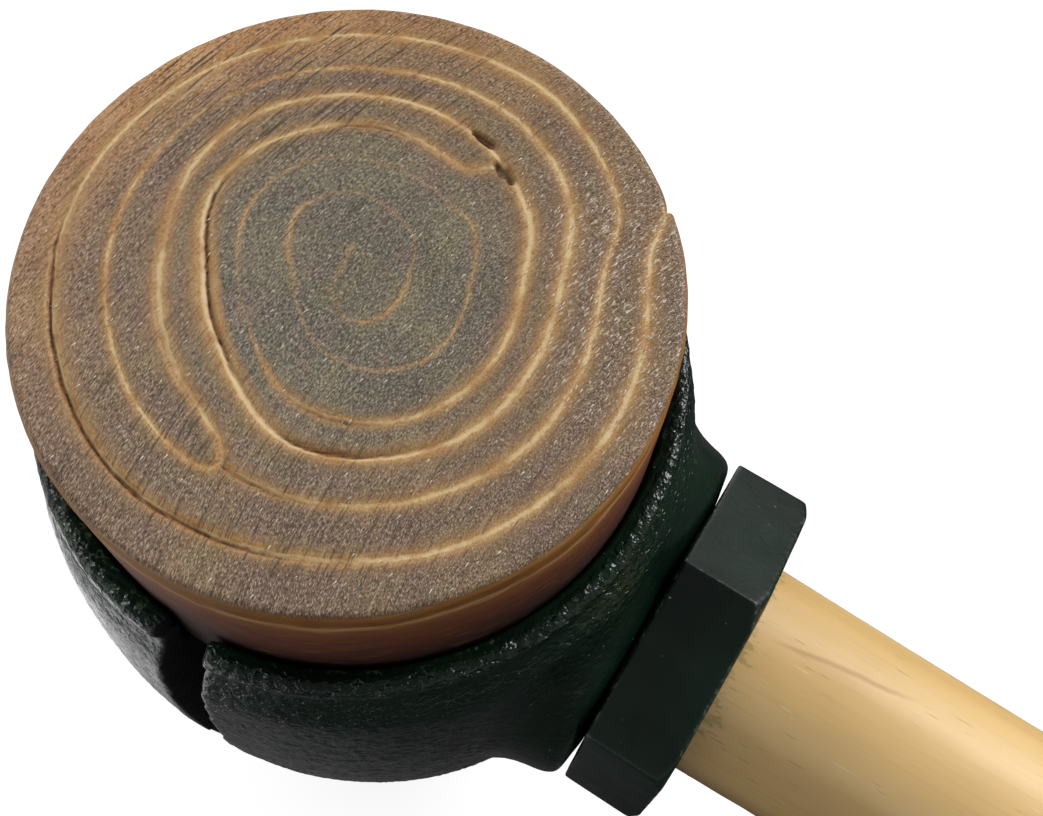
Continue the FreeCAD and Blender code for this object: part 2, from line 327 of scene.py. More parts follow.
def rawhide_material():
    """Rawhide, cow hide dried hard, wound and sawn across: the cut ends of the fibres are a
    salt-and-pepper grey-brown, the glue lines cream with an amber border, and the saw left fine scores
    that glint, with whitish streaks on the rubbed side that are painted glints. The turned side is
    darker, red-brown and barred along the lap, with a pale line of painted highlight and painted shade
    deepening towards the iron."""
    material, tree, shader, place = new_material("sawn_rawhide")
    sawn = along_saw(tree, place)
    on_face = attribute(tree, "on_face")
    line = attribute(tree, "seam_line")
    # Distances are in millimetres; a little noise keeps every line ragged
    ragged = maths(tree, "MULTIPLY", maths(tree, "SUBTRACT", field(
        tree, place, (0.34, 0.34, 0.5), 3.0), 0.5), 0.26)
    seam = maths(tree, "ADD", attribute(tree, "seam_distance"), ragged)
    off_seam = maths(tree, "DIVIDE", seam, maths(tree, "ADD", maths(
        tree, "MULTIPLY", maths(tree, "MULTIPLY", line, line), 1.25), 0.10))

    drift = ramp(tree, field(tree, place, (7, 7, 60), 3.0), 0.36, 0.64)
    inner = mixed(tree, drift, linear("#5C5649"), linear("#6E6652"))
    outer = mixed(tree, drift, linear("#6B5342"), linear("#7C6044"))
    hide = mixed(tree, attribute(tree, "warmth"), inner, outer)
    # Tallow and tan went in unevenly: patches of mauve and of olive
    blush = field(tree, place, (3.2, 3.2, 60), 2.0)
    hide = mixed(tree, ramp(tree, blush, 0.52, 0.68, 0.0, 0.45), hide, linear("#71564E"))
    hide = mixed(tree, ramp(tree, blush, 0.48, 0.32, 0.0, 0.40), hide, linear("#73683F"))
    hide = mixed(tree, attribute(tree, "tan_side"), hide, mixed(
        tree, drift, linear("#A8733F"), linear("#BD8B52")))

    # Seams: a wide tan border, a golden one within it and a cream line in the middle
    fill = ramp(tree, field(tree, place, (3.0, 3.0, 3.0), 2.0), 0.36, 0.58)
    border = maths(tree, "MULTIPLY", ramp(tree, off_seam, 4.2, 0.8), ramp(tree, line, 0.05, 0.50))
    hide = mixed(tree, maths(tree, "MULTIPLY", border, 0.55), hide, linear("#96703E"))
    gold = maths(tree, "MULTIPLY", ramp(tree, off_seam, 1.7, 0.5), ramp(tree, line, 0.0, 0.36))
    gold_tone = mixed(tree, fill, linear("#A87638"), linear("#B58C52"))
    hide = mixed(tree, maths(tree, "MULTIPLY", gold, 0.85), hide, gold_tone)

    # Fibre ends: pale and dark grains a few tenths across, drawn out along the saw's scores
    mottle = field(tree, sawn, (0.09, 0.27, 2.0), 2.0, 0.0, 0.6)
    clear = maths(tree, "SUBTRACT", 1.0, maths(tree, "MULTIPLY", border, 0.55))
    pale = maths(tree, "MULTIPLY", clear, ramp(tree, mottle, 0.52, 0.68, 0.0, 0.70))
    hide = mixed(tree, pale, hide, linear("#BBAC95"))
    dark = maths(tree, "MULTIPLY", clear, ramp(tree, mottle, 0.485, 0.33, 0.0, 0.84))
    hide = mixed(tree, dark, hide, linear("#1C140F"))

    # The saw's scores run nearly across the handle
    scored = attribute(tree, "scored")
    scores = field(tree, sawn, (0.22, 5.0, 8.0), 2.0, 0.0, 0.6)
    dark_scores = maths(tree, "MULTIPLY", ramp(tree, scores, 0.46, 0.34), scored)
    hide = mixed(tree, maths(tree, "MULTIPLY", dark_scores, 0.88), hide, linear("#33251C"))
    pale_scores = maths(tree, "MULTIPLY", ramp(tree, scores, 0.58, 0.72), scored)
    hide = mixed(tree, maths(tree, "MULTIPLY", pale_scores, 0.50), hide, linear("#B8A184"))

    cream = maths(tree, "MULTIPLY", ramp(tree, off_seam, 0.62, 0.16), ramp(tree, line, 0.0, 0.40))
    cream = maths(tree, "MULTIPLY", cream, ramp(tree, fill, 0.0, 1.0, 0.30, 0.95))
    hide = mixed(tree, cream, hide, linear("#CDB284"))

    # Open seams: an amber groove beside the line, with broken stretches of painted shade in the crack
    opened = ramp(tree, attribute(tree, "crack_open"), 0.15, 0.8)
    crack_place = maths(tree, "ADD", attribute(tree, "crack_distance"),
                        maths(tree, "MULTIPLY", ragged, 0.6))
    groove = maths(tree, "MULTIPLY", ramp(tree, crack_place, 0.26, 0.08), opened)
    hide = mixed(tree, maths(tree, "MULTIPLY", groove, 0.85), hide, linear("#764612"))
    gaps = ramp(tree, field(tree, place, (0.9, 0.9, 0.9), 2.0), 0.40, 0.56)
    crack_shade = maths(tree, "MULTIPLY", maths(tree, "MULTIPLY", ramp(
        tree, crack_place, 0.13, 0.03), opened), gaps)
    hide = mixed(tree, maths(tree, "MULTIPLY", crack_shade, 0.9), hide, linear("#2E1907"))
    hide = mixed(tree, attribute(tree, "pocket"), hide, linear("#5A3812"))

    # Rubbed fibres: bright whitish streaks that are painted glints, thickest on the rubbed side
    streaks = field(tree, sawn, (0.15, 0.8, 0.9), 2.0, 0.0, 0.7)
    rub_and_glint = maths(tree, "MULTIPLY", attribute(tree, "rub_and_glint"), ramp(tree, streaks, 0.56, 0.70))
    hide = mixed(tree, maths(tree, "MULTIPLY", rub_and_glint, 0.85), hide, linear("#D6CAB6"))

    # Down the side the edge is tan, then come a band of amber, a pale line that is a painted highlight,
    # and hide that darkens towards the iron, partly its own red-brown and partly painted shade
    drop = maths(tree, "MULTIPLY", maths(tree, "SUBTRACT", field(
        tree, place, (9, 9, 9), 2.0), 0.5), 3.2)
    bars = field(tree, place, (3.0, 3.0, 0.35), 3.0)
    level = maths(tree, "ADD", attribute(tree, "side_depth"), drop)
    level = maths(tree, "ADD", level, maths(tree, "MULTIPLY", maths(
        tree, "SUBTRACT", bars, 0.5), 2.0))
    side = colour_bands(tree, maths(tree, "DIVIDE", level, side_length), (
        (0.0, "#A67C4A"), (0.05, "#9A6420"), (0.12, "#85500C"), (0.18, "#965E1C"),
        (0.22, "#C0935A"), (0.28, "#8A5226"), (0.45, "#733A18"), (0.75, "#54240F"),
        (1.0, "#2A1208")))
    side = mixed(tree, ramp(tree, bars, 0.56, 0.72, 0.0, 0.32), side, linear("#A87844"))
    side = mixed(tree, ramp(tree, bars, 0.46, 0.30, 0.0, 0.5), side, linear("#34180A"))
    hide = mixed(tree, on_face, side, hide)
    tree.links.new(hide, shader.inputs["Base Color"])

    dull = ramp(tree, mottle, 0.35, 0.65, 0.58, 0.38)
    dull = maths(tree, "MAXIMUM", dull, maths(tree, "MULTIPLY", maths(
        tree, "SUBTRACT", 1.0, on_face), 0.72))
    tree.links.new(dull, shader.inputs["Roughness"])
    shader.inputs["IOR"].default_value = 1.45

    relief = bump(tree, maths(tree, "MULTIPLY", scored, scores), 0.10)
    relief = bump(tree, maths(tree, "MULTIPLY", on_face, mottle), 0.06, 1.0, relief)
    relief = bump(tree, bars, 0.10, 0.6, relief)
    tree.links.new(relief, shader.inputs["Normal"])
    return material


def nap_material():
    """Torn rawhide fibre: dry, pale and slightly shiny, so that it glints along the scores."""
    material, tree, shader, place = new_material("torn_fibre")
    tone = field(tree, place, (2.0, 2.0, 2.0), 1.0)
    tree.links.new(mixed(tree, tone, linear("#A89A84"), linear("#DDD3C2")),
                   shader.inputs["Base Color"])
    shader.inputs["Roughness"].default_value = 0.35
    return material


def enamel_material(name, roughness):
    """Brushed enamel over sand-cast or machined iron: nearly black green and glossy, with
    the grains of the casting under it, and rubbed pale only on the sharpest edges."""
    material, tree, shader, place = new_material(name)
    drift = field(tree, place, (9, 9, 9), 3.0)
    colour = mixed(tree, ramp(tree, drift, 0.3, 0.7), linear("#06140C"), linear("#0C2417"))
    rub = field(tree, place, (0.9, 0.9, 0.9), 4.0, 0.0, 0.65)
    edge = attribute(tree, "sharpness")
    rubbed = ramp(tree, maths(tree, "ADD", edge, maths(tree, "MULTIPLY", maths(
        tree, "SUBTRACT", rub, 0.5), 1.5)), 1.04, 1.20)
    colour = mixed(tree, maths(tree, "MULTIPLY", rubbed, 0.5), colour, linear("#5C6A58"))
    # Pale specks in the paint: painted glints on the grains of the casting
    glint_specks = field(tree, place, (0.6, 0.6, 0.6), 1.0)
    colour = mixed(tree, ramp(tree, glint_specks, 0.78, 0.82, 0.0, 0.6), colour, linear("#8C9684"))
    # No light reaches into the slot: painted shade darkens the paint there nearly to black, and the
    # paint there is made fully rough
    hidden = attribute(tree, "hidden")
    colour = mixed(tree, hidden, colour, linear("#030605"))
    tree.links.new(colour, shader.inputs["Base Color"])
    haze = field(tree, place, (3.0, 3.0, 3.0), 3.0)
    gloss = ramp(tree, haze, 0.3, 0.7, roughness, roughness + 0.10)
    tree.links.new(maths(tree, "MAXIMUM", gloss, hidden), shader.inputs["Roughness"])
    shader.inputs["IOR"].default_value = 1.48
    # The sand's grains lie under the paint as low round bumps with small pits between them
    sand = attribute(tree, "sand")
    grain = field(tree, place, (0.85, 0.85, 0.55), 2.0)
    pits = ramp(tree, field(tree, place, (0.8, 0.8, 0.45), 1.0), 0.46, 0.34, 0.0, 1.0)
    relief = bump(tree, maths(tree, "MULTIPLY", sand, grain), 0.38)
    relief = bump(tree, maths(tree, "MULTIPLY", sand, maths(tree, "SUBTRACT", 1.0, pits)),
                  0.12, 1.0, relief)
    tree.links.new(relief, shader.inputs["Normal"])
    return material


def hickory_material():
    """Turned and sanded hickory with a thin clear finish: honey-pale and nearly plain, with
    short fine pores, one rusty mineral streak, and dabs of the head's paint on the shoulder."""
    material, tree, shader, place = new_material("sanded_hickory")
    bands = field(tree, place, (150, 8.0, 5.0), 2.0)
    colour = mixed(tree, ramp(tree, bands, 0.3, 0.7), linear("#E6C388"), linear("#DCB574"))
    soft = field(tree, place, (16, 6.0, 6.0), 2.0)
    colour = mixed(tree, ramp(tree, soft, 0.5, 0.7, 0.0, 0.30), colour, linear("#D0A768"))
    fine = field(tree, place, (18, 0.5, 0.5), 3.0)
    colour = mixed(tree, ramp(tree, fine, 0.52, 0.74, 0.0, 0.22), colour, linear("#BE9860"))
    pores = field(tree, place, (3.4, 0.20, 0.20), 1.0)
    pore = ramp(tree, pores, 0.72, 0.78)
    colour = mixed(tree, maths(tree, "MULTIPLY", pore, 0.40), colour, linear("#9C7A48"))
    dashes = field(tree, place, (4.0, 0.32, 0.32), 1.0)
    colour = mixed(tree, ramp(tree, dashes, 0.74, 0.80, 0.0, 0.5), colour, linear("#F0DFB4"))

    # The mineral streak: a thin rusty line that leans a little across the grain
    spot = node(tree, "ShaderNodeSeparateXYZ", {0: place})
    along, across, height = [maths(tree, "DIVIDE", spot.outputs[axis], MM) for axis in range(3)]
    lean = maths(tree, "ADD", maths(tree, "SUBTRACT", across, streak_y), maths(
        tree, "MULTIPLY", maths(tree, "SUBTRACT", along, streak_x), streak_slope))
    wander = maths(tree, "MULTIPLY", maths(tree, "SUBTRACT", field(
        tree, place, (7, 7, 7), 2.0), 0.5), 1.6)
    lean = maths(tree, "ABSOLUTE", maths(tree, "ADD", lean, wander))
    ends = maths(tree, "DIVIDE", maths(tree, "ABSOLUTE", maths(
        tree, "SUBTRACT", along, streak_x)), streak_half_length)
    upper = ramp(tree, maths(tree, "SUBTRACT", height, axis_z), 0.0, 3.0)
    streak = maths(tree, "MULTIPLY", maths(tree, "MULTIPLY", ramp(tree, lean, 0.42, 0.04), ramp(
        tree, ends, 1.0, 0.45)), upper)
    colour = mixed(tree, maths(tree, "MULTIPLY", streak, 0.62), colour, linear("#B5793F"))

    # Paint that ran past the nut
    near_nut = ramp(tree, maths(tree, "SUBTRACT", along, nut_outer_x), 3.6, 0.0)
    dab = field(tree, place, (1.6, 0.9, 0.9), 4.0, 0.0, 0.7)
    dabs = ramp(tree, maths(tree, "ADD", maths(tree, "MULTIPLY", near_nut, 0.24), dab), 0.70, 0.84)
    colour = mixed(tree, maths(tree, "MULTIPLY", dabs, 0.5), colour, linear("#857F48"))
    # Painted shade: the handle's lower side is darkened towards a dull brown
    underside_painted_shade = ramp(tree, maths(tree, "SUBTRACT", height, axis_z), 5.0, -3.0)
    colour = mixed(tree, maths(tree, "MULTIPLY", underside_painted_shade, 0.70), colour, linear("#6E5230"))
    tree.links.new(colour, shader.inputs["Base Color"])
    shader.inputs["Roughness"].default_value = 0.45
    relief = bump(tree, maths(tree, "SUBTRACT", 1.0, pore), 0.04)
    relief = bump(tree, fine, 0.03, 0.5, relief)
    tree.links.new(relief, shader.inputs["Normal"])
    return material


def end_grain_material():
    """A beech wedge, sawn off flush: warmer and plainer than the handle round it."""
    material, tree, shader, place = new_material("sawn_wedge_wood")
    rings = field(tree, place, (6, 0.35, 3.0), 2.0)
    colour = mixed(tree, rings, linear("#C99A5E"), linear("#A97A42"))
    tree.links.new(colour, shader.inputs["Base Color"])
    shader.inputs["Roughness"].default_value = 0.6
    tree.links.new(bump(tree, rings, 0.08), shader.inputs["Normal"])
    return material


def wedge_steel_material():
    """Mild steel plate, cut and hammered in: grey, with a thin brown bloom of rust."""
    material, tree, shader, place = new_material("hammered_steel")
    bloom = field(tree, place, (1.6, 1.6, 1.6), 3.0)
    colour = mixed(tree, ramp(tree, bloom, 0.5, 0.7), linear("#7F7D79"), linear("#5E4534"))
    tree.links.new(colour, shader.inputs["Base Color"])
    shader.inputs["Metallic"].default_value = 1.0
    tree.links.new(ramp(tree, bloom, 0.4, 0.7, 0.35, 0.7), shader.inputs["Roughness"])
    tree.links.new(bump(tree, bloom, 0.08), shader.inputs["Normal"])
    return material


def link_object(name, mesh, material):
    """Put a finished mesh in the scene, smooth shaded, with its material."""
    mesh.materials.clear()
    mesh.materials.append(material)
    mesh.polygons.foreach_set("use_smooth", [True] * len(mesh.polygons))
    piece = bpy.data.objects.new(name, mesh)
    bpy.context.scene.collection.objects.link(piece)
    return piece


def write_attribute(mesh, name, values):
    layer = mesh.attributes.new(name, "FLOAT", "POINT")
    layer.data.foreach_set("value", np.asarray(values, np.float32))


def points_of(mesh):
    """The mesh's points in millimetres, and their normals."""
    count = len(mesh.vertices)
    points = np.zeros(count * 3, np.float32)
    normals = np.zeros(count * 3, np.float32)
    mesh.vertices.foreach_get("co", points)
    mesh.vertex_normals.foreach_get("vector", normals)
    return points.reshape(-1, 3) / MM, normals.reshape(-1, 3)


def set_points(mesh, points):
    mesh.vertices.foreach_set("co", (points * MM).astype(np.float32).ravel())
    mesh.update()


class Neighbours:
    """The edges of a mesh, kept for averaging over each point's neighbours."""

    def __init__(self, mesh):
        pairs = np.zeros(len(mesh.edges) * 2, np.int32)
        mesh.edges.foreach_get("vertices", pairs)
        self.pairs = pairs.reshape(-1, 2)
        self.count = len(mesh.vertices)
        self.degree = np.bincount(pairs, minlength=self.count).astype(float)

    def mean(self, values):
        first, second = self.pairs.T
        columns = []
        for column in values.T:
            total = np.bincount(first, column[second], self.count)
            total += np.bincount(second, column[first], self.count)
            columns.append(total / self.degree)
        return np.array(columns).T


def remeshed_copy(name, cad_node, cell):
    """A closed even mesh over a construction piece, for work on its surface."""
    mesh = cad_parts[cad_node].data.copy()
    solid = bmesh.new()
    solid.from_mesh(mesh)
    bmesh.ops.remove_doubles(solid, verts=solid.verts, dist=0.001 * MM)
    solid.to_mesh(mesh)
    solid.free()
    blank = bpy.data.objects.new(name, mesh)
    bpy.context.scene.collection.objects.link(blank)
    modifier = blank.modifiers.new("even", "REMESH")
    modifier.mode = "VOXEL"
    modifier.voxel_size = cell
    bpy.context.view_layer.update()
    evaluated = blank.evaluated_get(bpy.context.evaluated_depsgraph_get())
    even = bpy.data.meshes.new_from_object(evaluated)
    bpy.data.objects.remove(blank)
    even.name = name
    return even


def sharpness_of(points, normals, neighbours, rounds, full):
    """How far each point stands out over its surroundings, from 0 to 1."""
    smooth = points
    for _ in range(rounds):
        smooth = neighbours.mean(smooth)
    height = ((points - smooth) * normals).sum(1)
    return np.clip(height / full, 0.0, 1.0)


def turbulence(points, size, seed):
    """Noise from -1 to 1 at each point, with cells of this size."""
    offset = Vector((seed * 7.3, seed * 3.1, seed * 5.7))
    return np.array([noise.noise(Vector(point) / size + offset) for point in points])


def barrel_radius(height):
    """The radius of the iron's barrel at a height above or below the handle's axis."""
    share = height / (iron_high_z - axis_z)
    return belly_radius - (belly_radius - rim_radius) * share ** 2


def finish_casting(name, cad_node, cell, split_x, material):
    """A jaw as it was cast: softened edges, a neck under the lip, a blended boss and the
    grain of the sand."""
    settings = bpy.context.scene.mallet_iron
    mesh = remeshed_copy(name, cad_node, cell)
    neighbours = Neighbours(mesh)
    points, normals = points_of(mesh)
    for _ in range(3):
        points = points + 0.5 * (neighbours.mean(points) - points)

    # The boss runs into the barrel of the head through a wide fillet
    from_head_axis = np.hypot(points[:, 0], points[:, 1])
    height = points[:, 2] - axis_z
    from_handle_axis = np.hypot(points[:, 1], height)
    run = (points[:, 0] - throat_split_x) / (boss_end_x - throat_split_x)
    boss_radius = boss_root_radius + (boss_end_radius - boss_root_radius) * run
    off_barrel = (from_head_axis - barrel_radius(height)) / 3.4
    off_boss = (from_handle_axis - boss_radius) / 3.4
    crease = np.exp(-off_barrel ** 2 - off_boss ** 2) * (points[:, 0] > throat_split_x + 4)
    # The top and bottom corners of the slot are rounded off
    below_rim = (iron_high_z - axis_z) - np.abs(height)
    skin = smoothstep(face_radius + 0.6, face_radius + 1.4, from_head_axis)
    slot_corner = np.exp(-((points[:, 0] - split_x) / 1.8) ** 2 - (below_rim / 2.2) ** 2) * skin
    for number in range(120):
        soft = crease if number >= 30 else np.maximum(crease, slot_corner)
        points = points + (0.6 * soft)[:, None] * (neighbours.mean(points) - points)

    # Under the lip the skin draws in to a shallow neck, before it swells to the belly
    from_boss = smoothstep(0.5, 5.0, from_handle_axis - boss_radius)
    from_boss = np.where(points[:, 0] > 0, from_boss, 1.0)
    neck = neck_depth * np.exp(-((below_rim - neck_below_rim) / neck_half_height) ** 2)
    neck = neck * skin * from_boss
    points[:, :2] *= (1 - neck / np.maximum(from_head_axis, 1))[:, None]
    set_points(mesh, points)
    points, normals = points_of(mesh)
    write_attribute(mesh, "sharpness", sharpness_of(points, normals, neighbours, 6, 0.16))
    lip = smoothstep(neck_below_rim, neck_below_rim - 1.5, below_rim)
    on_boss = (points[:, 0] > 0) * smoothstep(1.5, 0.0, from_handle_axis - boss_radius)
    write_attribute(mesh, "sand", skin * (0.55 + 0.45 * lip) * (1 - 0.75 * on_boss))
    # The slot's walls, which the enamel darkens with painted shade
    facing_slot = smoothstep(0.45, 0.8, np.abs(normals[:, 0]))
    write_attribute(mesh, "hidden", facing_slot * smoothstep(
        1.5, 0.5, np.abs(points[:, 0] - split_x)))

    from_head_axis = np.hypot(points[:, 0], points[:, 1])
    outside = smoothstep(face_radius + 0.5, face_radius + 1.2, from_head_axis)
    outside = outside * smoothstep(12.4, 13.4, from_handle_axis)
    outside = outside * smoothstep(boss_end_x - 0.4, boss_end_x - 1.4, points[:, 0])
    outside = outside * (1 - 0.6 * on_boss)
    outside = outside * (0.15 + 0.85 * smoothstep(0.3, 2.0, np.abs(points[:, 0] - split_x)))
    grain = turbulence(points, settings.grain_size, 1)
    grain = grain + 0.5 * turbulence(points, settings.grain_size / 2, 2)
    waves = turbulence(points, 6.0, 3)
    depth = settings.grain_depth * (0.5 + 0.5 * grain) + 0.1 * (0.5 + 0.5 * waves)
    points = points - (outside * np.clip(depth, 0, None))[:, None] * normals
    set_points(mesh, points)
    return link_object(name, mesh, material)


def finish_nut(name, cad_node, material):
    """The nut with the corners and edges of its flats knocked round."""
    settings = bpy.context.scene.mallet_iron
    mesh = remeshed_copy(name, cad_node, settings.nut_cell)
    neighbours = Neighbours(mesh)
    points, normals = points_of(mesh)
    for _ in range(5):
        points = points + 0.5 * (neighbours.mean(points) - points)
    set_points(mesh, points)
    points, normals = points_of(mesh)
    write_attribute(mesh, "sharpness", sharpness_of(points, normals, neighbours, 8, 0.11))
    write_attribute(mesh, "sand", np.full(len(points), 0.06))
    dents = 0.5 + 0.5 * turbulence(points, 3.0, 4)
    points = points - (0.05 * dents)[:, None] * normals
    set_points(mesh, points)
    return link_object(name, mesh, material)


def sanded_handle(name, cad_node, material):
    """The handle as one smooth surface, with the corners at its ends and wedges kept crisp."""
    solid = bmesh.new()
    solid.from_mesh(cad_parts[cad_node].data)
    bmesh.ops.remove_doubles(solid, verts=solid.verts, dist=0.001 * MM)
    corners = np.array([point.co for point in solid.verts])
    sides = [[point.index for point in face.verts] for face in solid.faces]
    solid.free()
    mesh = bpy.data.meshes.new(name)
    mesh.from_pydata(corners.tolist(), [], sides)
    mesh.update()
    piece = link_object(name, mesh, material)
    mesh.set_sharp_from_angle(angle=math.radians(32))
    return piece


def catmull(first, second, third, fourth, share):
    """A smooth value between the second and the third."""
    square = share * share
    cube = square * share
    return 0.5 * (2 * second + (third - first) * share
                  + (2 * first - 5 * second + 4 * third - fourth) * square
                  + (3 * second - first - 3 * third + fourth) * cube)


def seam_samples(seam, spacing=0.12):
    """Points along a seam: x, y, the line's width, its opening and its outward normal."""
    rows = [seam[0]] + list(seam) + [seam[-1]]
    samples = []
    for first, second, third, fourth in zip(rows, rows[1:], rows[2:], rows[3:]):
        length = math.radians(abs(third[0] - second[0])) * max(second[1], third[1])
        length = max(length, abs(third[1] - second[1]))
        steps = max(2, round(length / spacing))
        for step in range(steps):
            share = step / steps
            values = [catmull(*column, share) for column in zip(first, second, third, fourth)]
            angle = math.radians(values[0])
            samples.append((values[1] * math.cos(angle), values[1] * math.sin(angle),
                            max(values[2], 0.0), min(max(values[3], -1.0), 1.0)))
    samples = np.array(samples)
    ahead = np.gradient(samples[:, :2], axis=0)
    ahead /= np.linalg.norm(ahead, axis=1)[:, None] + 1e-9
    normal = np.stack([ahead[:, 1], -ahead[:, 0]], 1)
    return np.hstack([samples, normal])


def nearest_seam(points, seams):
    """For each point the signed distance to the nearest seam, and that seam's values."""
    samples = np.vstack([seam_samples(seam) for seam in seams])
    tree = KDTree(len(samples))
    for index, sample in enumerate(samples):
        tree.insert((sample[0], sample[1], 0), index)
    tree.balance()
    found = [tree.find((point[0], point[1], 0)) for point in points]
    index = np.array([hit[1] for hit in found])
    nearest = samples[index]
    away = points[:, :2] - nearest[:, :2]
    signed = (away * nearest[:, 4:6]).sum(1)
    distance = np.array([hit[2] for hit in found])
    signed = np.where(signed < 0, -distance, distance)
    return signed, nearest[:, 2], nearest[:, 3]


def stitch(faces, inner, outer, flip):
    """Triangles between two rings of points, each given by its first index and count."""
    (first, count), (next_first, next_count) = inner, outer
    here = there = 0
    while here < count or there < next_count:
        step_inner = there >= next_count or (
            here < count and (here + 1) / count <= (there + 1) / next_count)
        corner_in = first + here % count
        corner_out = next_first + there % next_count
        if step_inner:
            here += 1
            face = (corner_in, corner_out, first + here % count)
        else:
            there += 1
            face = (corner_in, corner_out, next_first + there % next_count)
        if count == 1 and step_inner:
            continue
        if next_count == 1 and not step_inner:
            continue
        faces.append(face[::-1] if flip else face)


def wound_roll(name, face_z, seat_z, seams, pockets, lap_end_deg, worn_deg, material, seed):
    """One roll of rawhide: sawn face, rounded edge and turned side, with its seams cut in."""
    settings = bpy.context.scene.mallet_hide
    cell = settings.cell
    up = 1 if face_z > seat_z else -1
    edge_round = 0.8
    flat_radius = face_radius - edge_round
    rows = [(radius, 0.0) for radius in np.arange(0, flat_radius, cell)]
    for turn in np.arange(0, 90.1, 15):
        angle = math.radians(turn)
        rows.append((flat_radius + edge_round * math.sin(angle),
                     edge_round * (1 - math.cos(angle))))
    depth = abs(face_z - seat_z)
    exposed = abs(face_z - (iron_high_z if up > 0 else iron_low_z))
    for down in np.arange(edge_round + 0.4, exposed + 0.3, 0.42):
        rows.append((face_radius, down))
    rows += [(face_radius, depth - 0.3), (face_radius - 0.3, depth), (0.0, depth)]

    points = []
    rings = []
    for number, (radius, down) in enumerate(rows):
        hidden = down > exposed + 0.35
        count = max(1, round(2 * math.pi * radius / (cell if not hidden else cell * 6)))
        turn = (number * 0.618) % 1.0 if count > 1 else 0.0
        rings.append((len(points), count))
        for place in range(count):
            angle = 2 * math.pi * (place + turn * 0) / count
            points.append((radius * math.cos(angle), radius * math.sin(angle), down))
    faces = []
    for inner, outer in zip(rings, rings[1:]):
        stitch(faces, inner, outer, up < 0)
    points = np.array(points)

    radius = np.hypot(points[:, 0], points[:, 1])
    angle = np.degrees(np.arctan2(points[:, 1], points[:, 0])) % 360
    down = points[:, 2].copy()
    wobbled = points + 0.09 * np.array([
        noise.noise_vector(Vector((x / 0.8, y / 0.8, seed + 0.5))) for x, y, _ in points])
    distance, line, opening = nearest_seam(wobbled, seams)
    open_share = np.abs(opening)
    crack_distance = np.abs(distance - 0.18 * np.sign(opening))
    distance = np.abs(distance)
    on_face = smoothstep(edge_round * 0.6, edge_round * 0.15, down) * (down < 5)

    # The outer lap ends in a feathered step, so the roll is a little smaller past it
    past_end = (angle - lap_end_deg) % 360
    growth = 0.14 * (1 - past_end / 360) + 0.42 * np.exp(-past_end / 1.6)
    shrink = growth * smoothstep(face_radius - 3, face_radius, radius) * (down < exposed + 0.35)
    points[:, 0] *= 1 - shrink / np.maximum(radius, 1)
    points[:, 1] *= 1 - shrink / np.maximum(radius, 1)

    # Grooves: a shallow dip along every line and a sharp one where it is open
    sink = 0.05 + 0.10 * np.exp(-(distance / 0.35) ** 2) * smoothstep(0.1, 0.5, line)
    sink += settings.seam_depth * open_share * np.exp(-(crack_distance / 0.16) ** 2)
    waves = np.array([noise.noise(Vector((x / 7, y / 7, seed))) for x, y, _ in points])
    sink += 0.05 * (1 + waves)
    pocket_share = np.zeros(len(points))
    for pocket_deg, pocket_radius, half_length, half_width, pocket_depth in pockets:
        pocket_angle = math.radians(pocket_deg)
        out = np.array([math.cos(pocket_angle), math.sin(pocket_angle)])
        away = points[:, :2] - pocket_radius * out
        across = away @ out
        along = away @ np.array([-out[1], out[0]])
        wobble = 0.30 * np.array([noise.noise(Vector((x, y, seed + 9))) for x, y, _ in points * 1.9])
        reach = np.hypot(across / half_width, along / half_length) + wobble
        share = smoothstep(1.1, 0.7, reach) * (down < 1)
        sink += pocket_depth * share
        pocket_share = np.maximum(pocket_share, share)
    shallow = smoothstep(face_radius + 0.05, face_radius - 1.0, radius)
    top = down < 5
    points[:, 2] = down + np.where(top, sink * (0.25 + 0.75 * shallow), 0)
    # Keep the side just as ragged, but inside the turned size
    side_noise = np.array([noise.noise(Vector((x / 1.6, y / 1.6, z / 0.8 + seed)))
                           for x, y, z in points])
    inward = 0.05 * (1 + side_noise) * (down > 0.2) * (down < exposed + 0.2)
    points[:, 0] *= 1 - inward / np.maximum(radius, 1)
    points[:, 1] *= 1 - inward / np.maximum(radius, 1)
    points[:, 2] = face_z - up * points[:, 2]

    mesh = bpy.data.meshes.new(name)
    mesh.from_pydata((points * MM).tolist(), [], faces)
    mesh.update()
    side = down > edge_round * 0.9
    fade = np.where(side, 0.0, 1.0)
    write_attribute(mesh, "seam_distance", distance)
    write_attribute(mesh, "seam_line", line * fade)
    write_attribute(mesh, "crack_distance", crack_distance)
    write_attribute(mesh, "crack_open", open_share * fade)
    write_attribute(mesh, "on_face", on_face)
    write_attribute(mesh, "pocket", pocket_share)
    write_attribute(mesh, "side_depth", down)
    write_attribute(mesh, "warmth", smoothstep(8, 18, radius))
    behind = np.exp(-(bearing_distance(np.radians(angle - worn_deg - 125)) / 1.15) ** 2)
    write_attribute(mesh, "tan_side", behind * smoothstep(18, 23.5, radius))
    facing = np.exp(-(bearing_distance(np.radians(angle - worn_deg - 110)) / 0.6) ** 2)
    below = np.exp(-(bearing_distance(np.radians(angle - worn_deg + 115)) / 0.8) ** 2)
    scored = 0.38 + facing * smoothstep(9, 17, radius) + 0.45 * below * smoothstep(10, 16, radius)
    write_attribute(mesh, "scored", np.clip(scored, 0, 1) * on_face)
    bearing = np.radians(angle - worn_deg)
    # Where the face is rubbed: the nap gathers there, and the whitish streaks there are painted glints
    rub_and_glint = np.exp(-(bearing_distance(bearing) / 0.55) ** 2) * smoothstep(12, 19, radius)
    write_attribute(mesh, "rub_and_glint", np.clip(0.10 + rub_and_glint, 0, 1) * on_face)
    return link_object(name, mesh, material)


def bearing_distance(angle):
    """The size of an angle, in radians, round the nearer way."""
    return np.abs((angle + math.pi) % (2 * math.pi) - math.pi)


